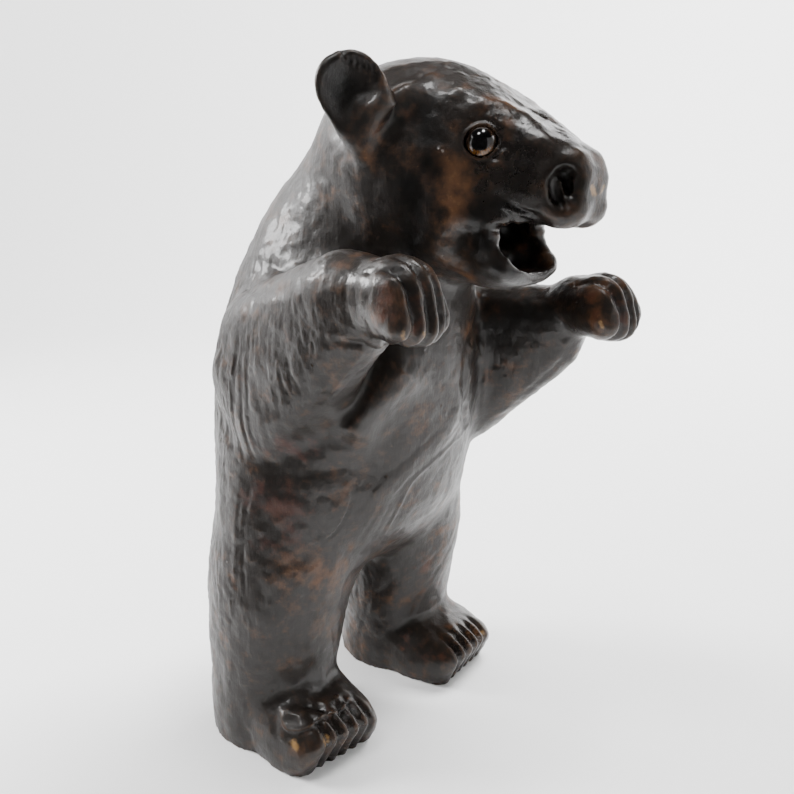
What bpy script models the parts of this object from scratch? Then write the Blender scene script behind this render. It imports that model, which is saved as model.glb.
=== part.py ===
"""A standing bear figurine: leather stretched over a solid form, with two glass eyes.

The bear faces -Y, its right side is -X and it stands on its soles at Z = 0.
"""

import math

import bmesh
import bpy
import numpy as np
from mathutils import Matrix, Vector

# Driving dimensions, in metres
BEAR_HEIGHT = 0.235
EYE_DIAMETER = 0.0095
EYE_CLEARANCE = 0.0003
EYE_PROUD = 0.0022
FORM_TRIANGLES = 8400

# The figure's own proportions are in 235ths of its height, which are millimetres at its real height.
FORM_HEIGHT = 235
MM = BEAR_HEIGHT / FORM_HEIGHT

UP = Vector((0, 0, 1))
BACK = Vector((0, 1, 0))
RIGHT, LEFT = -1, 1

# How finely each stage of the form is worked, in form units
BLOCK_GRAIN = 2.0
BLOCK_EASING = 50
LIMB_GRAIN = 1.6
LIMB_EASING = 18
DETAIL_GRAIN = 1.1
DETAIL_EASING = 8
SKIN_GRAIN = 0.9
SKIN_EASING = 3

# Every centre below is on the bear's left and is mirrored for its right side.
# Trunk rings from the crotch to the nape: (centre, half width, back reach, front reach)
TRUNK = (
    ((0, 5, 57), 44, 20, 14),
    ((0, 4, 70), 54, 29, 29),
    ((0, 3, 86), 55, 35, 39),
    ((0, 2, 104), 52.5, 41.5, 43),
    ((0, 1, 126), 50, 45, 46.5),
    ((0, 0, 146), 46, 43, 48),
    ((0, -4, 162), 39, 40, 48),
    ((0, -12, 176), 33, 38, 44),
    ((0, -22, 190), 29, 33, 34),
)

# Skull rings from the nape forwards: (centre, half width, above, below)
SKULL = (
    ((0, -6, 194), 24, 20, 26),
    ((0, -17, 198), 29.5, 31, 30),
    ((0, -31, 200), 33, 34, 34),
    ((0, -45, 200), 31, 32, 33),
    ((0, -58, 199), 26, 26.5, 25),
    ((0, -68, 198), 20, 20.5, 14),
    ((0, -76, 197), 15, 14.5, 11),
)

MUZZLE = (
    ((0, -44, 198), 20, 22, 16),
    ((0, -56, 198.5), 22, 22.5, 17),
    ((0, -66, 198.5), 20, 20, 17),
    ((0, -77, 197), 16.3, 14.8, 15),
    ((0, -87, 195), 13.5, 11.5, 12.5),
    ((0, -92, 193.5), 11.5, 9, 10.5),
    ((0, -95.5, 193), 7.5, 6, 7),
)
MUZZLE_SQUARENESS = 0.85

JAW = (
    ((0, -44, 184), 25, 14, 18),
    ((0, -56, 180), 21, 14, 16),
    ((0, -65, 177), 17, 12, 14.5),
    ((0, -73, 174.5), 14, 8, 12),
    ((0, -77, 173), 10, 6, 8),
)

# The blunt scoop of the lower jaw, worked finer than the rest of it
CHIN = (
    ((0, -60, 177.5), 18, 8, 12.5),
    ((0, -68, 175.5), 17, 7, 12),
    ((0, -74, 173.5), 15.5, 6, 10),
    ((0, -77, 172.5), 13.5, 5, 8),
    ((0, -79, 172), 10.5, 3.5, 6),
)
CHIN_SQUARENESS = 0.8

# Balls under each cheek, (centre, radius)
CHEEK = (
    ((14, -46, 196), 16),
    ((12, -60, 190), 11),
    ((9, -70, 186), 7.5),
    ((12, -54, 180), 11),
)

# Leg rings from the hip to the sole: (centre, half width, back, front)
LEG = (
    ((29, 4, 88), 21, 28, 28),
    ((32, 4, 64), 25, 29, 28),
    ((33, 5, 44), 25, 28, 24),
    ((34, 6, 26), 23.5, 26.5, 21),
    ((35, 7, 10), 22.5, 25.5, 22),
    ((35, 7, -10), 22, 25, 23),
)

# Foot rings from the heel to the toes: (centre, half width, above, below)
FOOT = (
    ((34.5, 26, 4), 14, 14, 14),
    ((35, 14, 7), 19, 20, 18),
    ((35.5, -4, 8), 20, 19, 18),
    ((36.5, -16, 8), 20, 14, 17),
    ((37.3, -25.5, 7), 18.5, 11.5, 16),
    ((37.8, -30, 5), 16, 9, 14),
)
FOOT_SQUARENESS = 0.75

# Balls under the leather of each arm from the shoulder round the elbow to the wrist, (centre, radius)
RIGHT_ARM = (
    ((34, 3, 145), 18),
    ((35.5, 6, 133), 18),
    ((41, -5, 117), 13),
    ((45.5, -42, 165), 13),
    ((46, -54, 164), 11),
)
LEFT_ARM = (
    ((34, 2, 142.5), 17),
    ((40, -26, 111), 12),
    ((40, -64, 151), 10.5),
    ((41, -64, 139), 7.5),
)

# Balls under the leather of each paw: wrist, knuckles, outer, inner and middle fingers, heel
RIGHT_PAW = (
    ((47, -56, 166), 10),
    ((48.5, -65.5, 166.5), 11),
    ((53.5, -69.5, 160), 7),
    ((44, -70, 160), 7),
    ((48.5, -71.5, 159), 6.8),
    ((51, -61, 160.5), 6.5),
)
LEFT_PAW = (
    ((40, -68, 155), 9.5),
    ((39.5, -80, 156.5), 10.5),
    ((45, -83.5, 151.5), 7.5),
    ((34.5, -83.5, 151.5), 7.5),
    ((39.5, -85.5, 150), 7),
)

# Ears are cupped discs that face forwards and out
RIGHT_EAR = (37.2, -36.7, 221.6)
LEFT_EAR = (36.2, -33.7, 218.6)
EAR_FACING = (0.66, -0.75, 0.05)
EAR_RADIUS = 10.8
EAR_EDGE = 3
EAR_ROOT = (6, 0, 17)
EAR_ROOT_RADIUS = 4.5
EAR_HOLLOW_RADIUS = 14
EAR_HOLLOW_DEPTH = 4.8
EAR_HOLLOW_DROP = 2.4
EAR_HOLLOW_RUN = 12
EAR_HOLLOW_RISE = 3

# Hollows cut in the finished form, each skin pulled over balls: (centre, radius)
MOUTH = (
    ((22, -71.5, 182), 1.5),
    ((-22, -71.5, 182), 1.5),
    ((24, -78, 177), 5.8),
    ((-24, -78, 177), 5.8),
    ((24, -98, 176.5), 6.8),
    ((-24, -98, 176.5), 6.8),
)
THROAT = (
    ((8, -62, 180), 4.5),
    ((-8, -62, 180), 4.5),
    ((8.5, -69, 173.5), 4.5),
    ((-8.5, -69, 173.5), 4.5),
    ((8, -74.5, 172), 3.2),
    ((-8, -74.5, 172), 3.2),
    ((0, -82, 180), 6),
)
NOSTRIL = (
    ((9.5, -90.5, 195.5), 4),
    ((10, -90, 191), 3.4),
    ((13, -97, 193), 5),
)
EYE_SPOT = (18.6, -69.2, 208.3)
EYE_AXIS = (0.87, -0.4, 0.27)

# Soft hollows worked along lines, or ridges where the depth is below zero:
# (start, end, breadth, depth)
HEAD_MARKS = (
    ((14, -60, 220), (13, -85, 208), 4.5, -1.6),
    ((30, -58, 211), (32, -50, 212), 7, 2),
    ((18, -82, 204), (15, -90, 202), 5, 1.2),
    ((33, -56, 195), (31, -54, 178), 5, 3),
    ((25, -66, 182), (22, -65, 172), 5, 2.8),
    ((27, -66, 199), (22, -76, 190), 6, -0.8),
)

# Pleats gathered over the fingers and toes: fingers, breadth of each, depth
FINGERS = 5
FINGER_BREADTH = 4.6
PLEAT_DEPTH = 1.8
PLEAT_FULLNESS = 0.8
PLEAT_EASING = 2
TOES = 6
TOE_BREADTH = 4.9

# Where each row of pleats runs, from the knuckles to the tips
RIGHT_FINGERS = ((48.5, -70, 177), (48.5, -77, 152))
LEFT_FINGERS = ((40, -85, 167), (40, -92, 143))
TOES_LINE = ((36, -27, 19), (37, -36, 0))

LEATHER_COLOUR = (0.028, 0.016, 0.011, 1)
GLASS_COLOUR = (0.16, 0.055, 0.012, 1)


def grown(stations, steps=4):
    """Stations eased along a Catmull-Rom curve, so that the rings between them flow."""
    rows = np.array([[*centre, *reach] for centre, *reach in stations], float)
    padded = np.vstack([2 * rows[0] - rows[1], rows, 2 * rows[-1] - rows[-2]])
    eased = []
    for i in range(len(rows) - 1):
        before, start, end, after = padded[i : i + 4]
        for t in np.arange(steps) / steps:
            eased.append(
                start
                + 0.5 * t * (end - before)
                + t * t * (before - 2.5 * start + 2 * end - 0.5 * after)
                + t * t * t * (1.5 * (start - end) + 0.5 * (after - before))
            )
    eased.append(rows[-1])
    return eased


def mirrored(triple, side):
    return Vector((side * triple[0], triple[1], triple[2]))


def mesh_object(name, mesh_builder):
    mesh = bpy.data.meshes.new(name)
    mesh_builder.to_mesh(mesh)
    mesh_builder.free()
    made = bpy.data.objects.new(name, mesh)
    bpy.context.scene.collection.objects.link(made)
    return made


def lofted(name, stations, lead, side=LEFT, squareness=1, sides=32):
    """A closed skin through elliptical rings; the first reach past the width points along lead."""
    rows = grown(stations)
    centres = [mirrored(row[:3], side) * MM for row in rows]
    build = bmesh.new()
    rings = []
    for i, (centre, row) in enumerate(zip(centres, rows)):
        along = centres[min(i + 1, len(rows) - 1)] - centres[max(i - 1, 0)]
        across = along.cross(lead).normalized()
        upward = across.cross(along).normalized()
        width, above, below = (reach * MM for reach in row[3:])
        ring = []
        for turn in np.arange(sides) * 2 * math.pi / sides:
            sway = math.copysign(abs(math.cos(turn)) ** squareness, math.cos(turn))
            rise = math.copysign(abs(math.sin(turn)) ** squareness, math.sin(turn))
            rise *= above if rise > 0 else below
            ring.append(build.verts.new(centre + across * width * sway + upward * rise))
        rings.append(ring)
    for lower, upper in zip(rings, rings[1:]):
        for i in range(sides):
            j = (i + 1) % sides
            build.faces.new((lower[i], lower[j], upper[j], upper[i]))
    build.faces.new(rings[0])
    build.faces.new(rings[-1])
    bmesh.ops.recalc_face_normals(build, faces=build.faces)
    return mesh_object(name, build)


def stretched(name, balls, side=LEFT):
    """Skin pulled tight over balls, each (centre, radius)."""
    build = bmesh.new()
    for centre, radius in balls:
        place = Matrix.Translation(mirrored(centre, side) * MM)
        bmesh.ops.create_icosphere(build, subdivisions=3, radius=radius * MM, matrix=place)
    bmesh.ops.delete(build, geom=build.edges[:] + build.faces[:], context="EDGES_FACES")
    hull = bmesh.ops.convex_hull(build, input=build.verts[:])
    inside = [v for v in hull["geom_interior"] if isinstance(v, bmesh.types.BMVert)]
    bmesh.ops.delete(build, geom=inside, context="VERTS")
    bmesh.ops.recalc_face_normals(build, faces=build.faces)
    return mesh_object(name, build)


def baked(piece):
    """The piece with its modifiers made part of its mesh."""
    graph = bpy.context.evaluated_depsgraph_get()
    mesh = bpy.data.meshes.new_from_object(piece.evaluated_get(graph))
    piece.modifiers.clear()
    piece.data = mesh
    return piece


def eased(piece, rounds):
    ease = piece.modifiers.new("ease", "SMOOTH")
    ease.factor = 0.5
    ease.iterations = round(rounds)
    return baked(piece)


def fused(name, pieces, grain, rounds):
    """The pieces made one skin, with its creases eased as leather eases over them."""
    build = bmesh.new()
    for piece in pieces:
        build.from_mesh(piece.data)
        bpy.data.objects.remove(piece)
    whole = mesh_object(name, build)
    remesh = whole.modifiers.new("fuse", "REMESH")
    remesh.mode = "VOXEL"
    remesh.voxel_size = grain * MM
    return eased(whole, rounds)


def carved(body, cutters):
    """The body with each cutter's shape taken out of it."""
    for cutter in cutters:
        cut = body.modifiers.new("cut", "BOOLEAN")
        cut.operation = "DIFFERENCE"
        cut.object = cutter
    baked(body)
    for cutter in cutters:
        bpy.data.objects.remove(cutter)
    return body


def ball(name, centre, radius):
    build = bmesh.new()
    bmesh.ops.create_icosphere(build, subdivisions=3, radius=radius, matrix=Matrix.Translation(centre))
    return mesh_object(name, build)


def ear_axes(side):
    facing = mirrored(EAR_FACING, side).normalized()
    across = UP.cross(facing).normalized()
    centre = RIGHT_EAR if side == RIGHT else LEFT_EAR
    return mirrored(centre, side), facing, across, facing.cross(across)


def ear(side):
    centre, _, across, upward = ear_axes(side)
    rim = EAR_RADIUS - EAR_EDGE
    balls = []
    for turn in np.arange(16) * math.pi / 8:
        balls.append((centre + rim * (across * math.cos(turn) + upward * math.sin(turn)), EAR_EDGE))
    balls.append((centre - mirrored(EAR_ROOT, side), EAR_ROOT_RADIUS))
    return stretched("ear", balls)


def ear_hollow(side):
    centre, facing, _, upward = ear_axes(side)
    away = EAR_EDGE - EAR_HOLLOW_DEPTH + EAR_HOLLOW_RADIUS
    middle = centre + facing * away - upward * EAR_HOLLOW_DROP
    lower = middle + facing * EAR_HOLLOW_RISE - upward * EAR_HOLLOW_RUN
    return stretched("ear_hollow", ((middle, EAR_HOLLOW_RADIUS), (lower, EAR_HOLLOW_RADIUS)))


def skin(body):
    """The body's points and the way its skin faces at each."""
    found = []
    for field in ("co", "normal"):
        values = np.empty(3 * len(body.data.vertices), np.float32)
        body.data.vertices.foreach_get(field, values)
        found.append(values.reshape(-1, 3).astype(float))
    return found


def moved(body, spots):
    body.data.vertices.foreach_set("co", spots.astype(np.float32).ravel())
    body.data.update()
    return body


def pressed(body, marks, side):
    """Soft hollows, or ridges where the depth is below zero, along lines on the skin."""
    spots, outward = skin(body)
    for start, end, breadth, depth in marks:
        root = np.array(mirrored(start, side)) * MM
        along = np.array(mirrored(end, side)) * MM - root
        share = np.clip((spots - root) @ along / (along @ along), 0, 1)
        away = np.linalg.norm(spots - root - share[:, None] * along, axis=1) / (breadth * MM)
        spots -= outward * (depth * MM * np.exp(-(away**2)))[:, None]
    return moved(body, spots)


def pleated(body, line, count, breadth, side):
    """Rounded fingers side by side, parted by sharp valleys in the skin."""
    spots, outward = skin(body)
    root, tip = (np.array(mirrored(end, side)) for end in line)
    down = (tip - root) / np.linalg.norm(tip - root)
    across = np.cross(down, BACK)
    across /= np.linalg.norm(across)
    facing = np.cross(across, down)
    facing *= -np.sign(facing[1])
    away = spots / MM - root
    order = away @ across / breadth + count / 2
    reach = away @ down / np.linalg.norm(tip - root)
    inside = np.clip(2 * order - 1, 0, 1) * np.clip(2 * (count - order) - 1, 0, 1)
    inside *= np.clip(4 * reach + 0.6, 0, 1) * np.clip(5 - 4 * reach, 0, 1)
    inside *= np.clip(1.6 * (outward @ facing) + 0.5, 0, 1)
    inside *= np.abs(away @ facing) < 3 * breadth
    valley = 1 - np.abs(np.sin(np.pi * order)) ** PLEAT_FULLNESS
    return moved(body, spots - outward * (PLEAT_DEPTH * MM * valley * inside)[:, None])


def reduced(body, triangles):
    """The body with its triangles kept where it curves most."""
    body.data.calc_loop_triangles()
    reduce = body.modifiers.new("reduce", "DECIMATE")
    reduce.ratio = triangles / len(body.data.loop_triangles)
    return baked(body)


def sole_cutter():
    build = bmesh.new()
    size = 2 * FORM_HEIGHT * MM
    bmesh.ops.create_cube(build, size=size, matrix=Matrix.Translation((0, 0, -size / 2)))
    return mesh_object("below_soles", build)


def build_form():
    """The whole solid form, one skin from the ears to the soles."""
    block = [lofted("trunk", TRUNK, BACK), lofted("skull", SKULL, UP)]
    for side in (RIGHT, LEFT):
        block.append(lofted("leg", LEG, BACK, side))
    limbs = [fused("block", block, BLOCK_GRAIN, BLOCK_EASING)]
    for side, arm in ((RIGHT, RIGHT_ARM), (LEFT, LEFT_ARM)):
        limbs.append(stretched("arm", arm, side))
        limbs.append(stretched("cheek", CHEEK, side))
    limbs.append(lofted("jaw", JAW, UP))
    details = [fused("limbs", limbs, LIMB_GRAIN, LIMB_EASING)]
    for side, paw in ((RIGHT, RIGHT_PAW), (LEFT, LEFT_PAW)):
        details.append(lofted("foot", FOOT, UP, side, FOOT_SQUARENESS))
        details.append(stretched("paw", paw, side))
        details.append(ear(side))
    details.append(lofted("muzzle", MUZZLE, UP, LEFT, MUZZLE_SQUARENESS))
    details.append(lofted("chin", CHIN, UP, LEFT, CHIN_SQUARENESS))
    form = fused("form", details, DETAIL_GRAIN, DETAIL_EASING)
    cutters = [stretched("mouth", MOUTH), stretched("throat", THROAT)]
    for side in (RIGHT, LEFT):
        cutters.append(ear_hollow(side))
        cutters.append(stretched("nostril", NOSTRIL, side))
    form = fused("bear_body", [carved(form, cutters)], SKIN_GRAIN, SKIN_EASING)
    for side in (RIGHT, LEFT):
        pressed(form, HEAD_MARKS, side)
    return form


def pleated_form():
    form = build_form()
    pleated(form, RIGHT_FINGERS, FINGERS, FINGER_BREADTH, RIGHT)
    pleated(form, LEFT_FINGERS, FINGERS, FINGER_BREADTH, LEFT)
    pleated(form, TOES_LINE, TOES, TOE_BREADTH, RIGHT)
    pleated(form, TOES_LINE, TOES, TOE_BREADTH, LEFT)
    return eased(form, PLEAT_EASING)


def at_height(form):
    """The form at the bear's true height above its soles."""
    tallest = skin(form)[0][:, 2].max()
    form.data.transform(Matrix.Scale(BEAR_HEIGHT / tallest, 4))
    return form


def eye_centre(form, side):
    """Where an eye sits, so that it stands a little proud of the skin along its axis."""
    outward = mirrored(EYE_AXIS, side).normalized()
    start = mirrored(EYE_SPOT, side) * MM + outward * EYE_DIAMETER * 2
    found, spot, _, _ = form.ray_cast(start, -outward)
    if not found:
        raise ValueError("no skin under the eye")
    return spot + outward * (EYE_PROUD - EYE_DIAMETER / 2)


def finished(piece, material):
    piece.data.materials.clear()
    piece.data.materials.append(material)
    for face in piece.data.polygons:
        face.use_smooth = True
    return piece


def painted(name, colour, roughness, coat):
    material = bpy.data.materials.new(name)
    material.use_nodes = True
    shader = material.node_tree.nodes["Principled BSDF"]
    shader.inputs["Base Color"].default_value = colour
    shader.inputs["Roughness"].default_value = roughness
    shader.inputs["Metallic"].default_value = 0
    shader.inputs["Coat Weight"].default_value = coat
    return material


def build_bear():
    body = at_height(reduced(pleated_form(), FORM_TRIANGLES))
    centres = {side: eye_centre(body, side) for side in (RIGHT, LEFT)}
    eyes = []
    cutters = [sole_cutter()]
    for side, name in ((RIGHT, "eye_right"), (LEFT, "eye_left")):
        eyes.append(ball(name, centres[side], EYE_DIAMETER / 2))
        cutters.append(ball("socket", centres[side], EYE_DIAMETER / 2 + EYE_CLEARANCE))
    carved(body, cutters)
    corners = np.array(body.bound_box)
    middle = (corners.min(axis=0) + corners.max(axis=0)) / 2
    leather = painted("lacquered_leather", LEATHER_COLOUR, 0.32, 0.5)
    glass = painted("amber_glass", GLASS_COLOUR, 0.06, 1)
    for piece, material in ((body, leather), *((eye, glass) for eye in eyes)):
        piece.data.transform(Matrix.Translation((-middle[0], -middle[1], 0)))
        finished(piece, material)


for leftover in list(bpy.data.objects):
    bpy.data.objects.remove(leftover)
build_bear()
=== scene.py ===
"""The standing leather bear, dressed: pleated lacquered leather, glass eyes and a soft studio.

The bear faces -Y, its right side is -X and it stands on its soles at Z = 0. Places, breadths and
depths of the leather's marks are in millimetres. Where a mark's point has two numbers, it is a
place in the camera's frame, in pixels, and the mark lies on the skin that shows there.
"""

import math

import bmesh
import bpy
import numpy as np
from mathutils import Matrix, Vector
from mathutils.bvhtree import BVHTree


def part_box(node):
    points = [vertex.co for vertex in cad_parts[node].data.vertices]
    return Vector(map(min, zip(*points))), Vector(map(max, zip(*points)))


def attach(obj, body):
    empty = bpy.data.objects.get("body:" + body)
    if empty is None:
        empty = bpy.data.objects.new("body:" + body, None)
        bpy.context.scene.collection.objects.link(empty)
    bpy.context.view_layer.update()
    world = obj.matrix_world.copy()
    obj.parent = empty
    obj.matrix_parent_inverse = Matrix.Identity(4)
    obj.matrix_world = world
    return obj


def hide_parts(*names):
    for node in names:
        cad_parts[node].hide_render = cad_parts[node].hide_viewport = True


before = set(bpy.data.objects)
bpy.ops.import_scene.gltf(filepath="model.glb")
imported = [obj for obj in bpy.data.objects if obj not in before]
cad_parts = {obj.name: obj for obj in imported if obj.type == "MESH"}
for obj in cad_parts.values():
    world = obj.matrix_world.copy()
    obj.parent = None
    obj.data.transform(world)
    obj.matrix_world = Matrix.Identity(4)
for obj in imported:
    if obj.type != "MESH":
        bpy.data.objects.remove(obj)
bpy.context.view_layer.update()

MM = 0.001
UP = Vector((0, 0, 1))

# The bear's middle plane, about which its two sides mirror
MIDDLE_X = 1.45

# The camera, in millimetres: where it stands, what it looks at, its lens and its sensor, and the
# frame's side in pixels
CAMERA_PLACE = (-225.31, -187.73, 197.1)
CAMERA_AIM = (8.51, 8.42, 120.93)
LENS = 39.13
SENSOR = 36
FRAME_SIDE = 794

# How finely the leather is worked, and how many triangles it may keep
LEATHER_GRAIN = 0.52
LEATHER_TRIANGLES = 190_000

# The rounds of easing over broad skin and then everywhere, and the steps a point's share has
BROAD_ROUNDS = 80
FINE_ROUNDS = 6
EASE_STEPS = 12

# The height over which the easing fades in above the ground, so that the soles stay flat
SOLE_HEIGHT = 2.0

# Places that keep their carving where the broad skin is eased: (centre, reach)
WORKED = (
    ((-36, -12, 223), 15),
    ((37, -9, 220), 15),
    ((-14, -42, 208), 9),
    ((17, -42, 208), 9),
    ((1.5, -60, 192), 18),
    ((1.5, -45, 180), 20),
    ((-47.5, -43, 164), 17),
    ((42, -58, 155), 17),
    ((-35, -6, 10), 20),
    ((38, -6, 10), 20),
)

# The easing that such a place still gets
WORKED_EASE = 0.12

# How steeply such a place fades: it is full out to 3/8 of its reach
PLACE_FALL = 1.6

# Rows of pleats: from the knuckles to the tips, how many, breadth of each, depth
PLEAT_ROWS = (
    ((-47.44, -45.0, 178.4), (-47.44, -52.06, 153.2), 5, 4.637, 1.1),
    ((41.77, -60.1, 168.3), (41.77, -67.2, 144.2), 5, 4.637, 1.1),
    ((-34.84, -1.66, 19.15), (-35.85, -10.73, 0), 6, 4.94, 1.1),
    ((37.74, -1.66, 19.15), (38.75, -10.73, 0), 6, 4.94, 1.1),
)
PLEAT_FULLNESS = 0.75

# The stops of a path between two points of a mark
PATH_STEPS = 6

# A mark reaches so many breadths from its line. One longer than SHORT_MARK breadths fades over
# END_SHARE of its length to END_DEPTH of its depth.
MARK_REACH = 3.2
SHORT_MARK = 3
END_SHARE = 0.22
END_DEPTH = 0.25

# The lip beside a sharp cut: its height, its place and its spread in breadths. Then a lap's lip.
SHARP_LIP = 0.28
LIP_PLACE = 1.7
LIP_SPREAD = 0.35
LAP_LIP = 0.55

# Marks worked in the leather: (points, breadth, depth, cut, sides). Below zero, depth is a ridge.
# A cut is soft, sharp, or lapped, which is high on one side. Both sides have the marks marked 2.
MARKS = (
    # brow, temple and side of the face
    (((466, 107), (490, 102), (511, 108), (531, 119), (546, 134)), 3.2, -0.9, "soft", 2),
    (((430, 118), (440, 135), (446, 160)), 6, 0.7, "soft", 2),
    (((452, 108), (458, 125), (462, 140)), 3.5, 0.5, "soft", 2),
    (((505, 140), (520, 152), (536, 160)), 4, 0.5, "soft", 2),
    # nostril and its fold
    (((555, 176), (560, 188), (566, 197), (572, 206)), 1.5, -2.2, "soft", 2),
    (((574, 176), (577, 188), (576, 198)), 1.8, -1.5, "soft", 2),
    (((566, 186), (568, 192)), 1.5, 2.2, "soft", 2),
    (((584, 156), (588, 165), (587, 176)), 3.2, -0.6, "soft", 2),
    (((548, 176), (552, 192), (562, 206), (572, 212)), 1.3, 0.5, "soft", 2),
    # lips and jaw
    (((494, 212), (509, 220), (525, 226), (541, 228)), 1.1, 0.8, "sharp", 2),
    (((556, 221), (566, 222), (578, 215)), 4.0, -1.9, "soft", 2),
    (((500, 206), (520, 216), (541, 222)), 2, -0.4, "soft", 2),
    (((492, 247), (502, 260), (515, 268), (532, 271), (548, 270)), 2.2, 0.9, "soft", 2),
    (((521, 250), (534, 256), (545, 260)), 3.6, -2.0, "soft", 2),
    (((487, 228), (494, 236), (500, 244)), 2.4, -1.0, "soft", 2),
    (((490, 232), (497, 235)), 0.9, 0.6, "sharp", 2),
    (((488, 238), (496, 242)), 0.9, 0.6, "sharp", 2),
    (((464, 236), (474, 236)), 3.2, 1.2, "soft", 2),
    (((500, 208), (515, 216), (530, 219)), 1.0, 0.6, "sharp", 2),
    (((506, 203), (522, 211), (538, 215)), 1.0, 0.5, "sharp", 2),
    # neck
    (((408, 188), (414, 215), (412, 246)), 5, 1.0, "soft", 1),
    (((398, 130), (402, 160), (398, 190)), 5, 0.5, "soft", 1),
    # ear base, with its lumps and the fold behind its rim
    (((375, 58), (377, 70), (376, 84)), 1.2, 0.8, "sharp", 1),
    (((380, 64), (383, 76)), 2.2, -1.2, "soft", 1),
    (((370, 112), (388, 104), (406, 97)), 4.6, -3.6, "soft", 2),
    (((384, 90), (393, 96), (402, 97)), 1.6, 0.5, "sharp", 1),
    (((380, 106), (390, 111), (397, 110)), 1.6, 0.5, "sharp", 1),
    (((404, 90), (411, 100), (409, 113)), 1.8, 0.5, "sharp", 1),
    (((392, 103), (400, 104)), 2.6, -0.6, "soft", 1),
    # near arm
    (((335, 341), (360, 345), (385, 347), (402, 344)), 1.3, 0.7, "sharp", 1),
    (((407, 352), (380, 376), (350, 406), (330, 430)), 3.2, -0.7, "soft", 1),
    (((412, 358), (387, 385), (360, 414), (339, 440)), 7.5, -6, "soft", 1),
    (((256, 462), (272, 462), (290, 455), (312, 449), (330, 435)), 3.0, 0.6, "soft", 1),
    (((262, 261), (283, 270), (306, 262)), 2.2, 0.6, "sharp", 1),
    (((240, 285), (262, 292), (285, 290)), 2.0, 0.5, "sharp", 1),
    (((372, 268), (366, 285), (368, 305)), 1.6, 0.4, "sharp", 1),
    # chest, belly and far arm
    (((490, 293), (478, 315), (470, 340), (466, 365), (463, 400), (465, 436)), 2.4, 0.9, "soft", 1),
    (((467, 373), (456, 410), (440, 437), (405, 468), (380, 495), (358, 525)), 5, -1.1, "soft", 1),
    (((540, 398), (560, 378), (588, 352)), 2.4, -0.5, "soft", 1),
    (((520, 400), (545, 374), (570, 352)), 2.0, 0.5, "soft", 1),
    # hip seam
    (((352, 497), (346, 515), (336, 532), (324, 541)), 1.2, 0.5, "lapped", 1),
    (((306, 520), (315, 532), (325, 541)), 1.2, 0.4, "sharp", 1),
    (((262, 470), (285, 478), (315, 472), (345, 470)), 3, 0.4, "soft", 1),
    # near foot: the wrinkled ledge over the toes and the lumps above it
    (
        ((279, 709), (285, 728), (298, 731), (310, 727), (322, 717), (340, 711), (350, 697)),
        1.5,
        -0.9,
        "lapped",
        1,
    ),
    (((306, 690), (314, 684), (320, 676)), 3.2, -0.8, "soft", 1),
    (((326, 704), (335, 699)), 2.4, -0.7, "soft", 1),
    (((288, 712), (298, 715)), 2.4, -0.7, "soft", 1),
    (((301, 703), (312, 708), (324, 709)), 1.5, 0.6, "sharp", 1),
    (((268, 700), (275, 715), (276, 735)), 1.6, 0.5, "sharp", 1),
    (((285, 735), (300, 742), (303, 756)), 1.4, 0.5, "sharp", 1),
    # far foot
    (((445, 612), (452, 628), (456, 640)), 2.6, -0.6, "soft", 1),
    (((430, 625), (440, 640), (446, 652)), 1.8, 0.5, "soft", 1),
)

# Fans of thin folds: (points, how many, how far the last lies from the first, in pixels, breadth,
# depth, sides)
FANS = (
    # the band from the chest down into the groin
    (
        ((474, 330), (468, 373), (452, 417), (434, 440), (402, 470), (380, 500), (358, 540)),
        7,
        (16, 8),
        0.8,
        -0.35,
        1,
    ),
    (((455, 400), (440, 425), (412, 452), (380, 480), (356, 512)), 4, (10, 4), 0.8, 0.25, 1),
    # the stretched web of the near arm
    (((404, 351), (378, 373), (348, 403), (328, 428)), 2, (9, 8), 1.0, -0.6, 2),
    (((357, 347), (333, 373), (316, 398)), 3, (16, 6), 1.0, -0.45, 2),
    # the flank and the elbow
    (((226, 330), (219, 380), (222, 430), (234, 468)), 5, (26, -8), 0.9, 0.22, 2),
    (((238, 395), (246, 430), (258, 466)), 5, (40, 4), 0.9, 0.25, 2),
    (((228, 480), (222, 540), (222, 600)), 4, (22, 0), 0.9, 0.18, 2),
    # the crown
    (((392, 62), (430, 58), (475, 66), (515, 86), (548, 118)), 6, (-14, 34), 0.8, 0.17, 2),
    # the far web
    (((512, 436), (540, 398), (570, 368), (598, 350)), 4, (-14, -14), 0.9, -0.35, 1),
    # the near thigh and shin
    (((300, 600), (318, 640), (322, 672)), 4, (44, -10), 1.0, 0.2, 2),
)

# How far a fold of a fan strays, in pixels, and its least and most share of the fan's depth
FAN_STRAY = 2.5
FAN_STRENGTHS = (0.3, 1.3)

# The seed of all that strays
STRAY_SEED = 7

# The gathers inside the ear's top rim: first and last, in the frame, how many, length in pixels,
# how far the middle and the end of each lean, and breadth and depth
EAR_GATHERS = ((343, 49), (372, 63), 6, 13)
EAR_GATHER_LEAN = (1.5, 2)
EAR_GATHER_CUT = (0.75, 1.0)

# The tight leather ring round each eye: (radius, breadth, depth)
EYE_RINGS = ((4.5, 0.65, -0.8), (5.9, 0.9, 0.45))

# The gathers round that ring: how many, between which radii, how far they stray, breadth, depths
EYE_GATHERS = 13
EYE_GATHER_RADII = (4.9, 7.6)
EYE_GATHER_STRAY = 0.3
EYE_GATHER_BREADTH = 0.5
EYE_GATHER_DEPTHS = (0.15, 0.35)

# A ring round an eye: how many stops it has, and how far out they start before they meet the skin
RING_STOPS = 32
RING_START = 2.5

# The glass eyes: their radius, how finely they are made, and the way they face, outward along X
EYE_RADIUS = 4.75
EYE_MERIDIANS = 64
EYE_PARALLELS = 48
EYE_AXIS = (0.87, -0.4, 0.27)

# The wrinkles: their share where the skin faces neither back nor right, what facing back and
# facing right add to it, and its least
WRINKLE_SHARE = 0.5
WRINKLE_BACK = 0.8
WRINKLE_RIGHT = 0.5
WRINKLE_LEAST = 0.12

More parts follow.
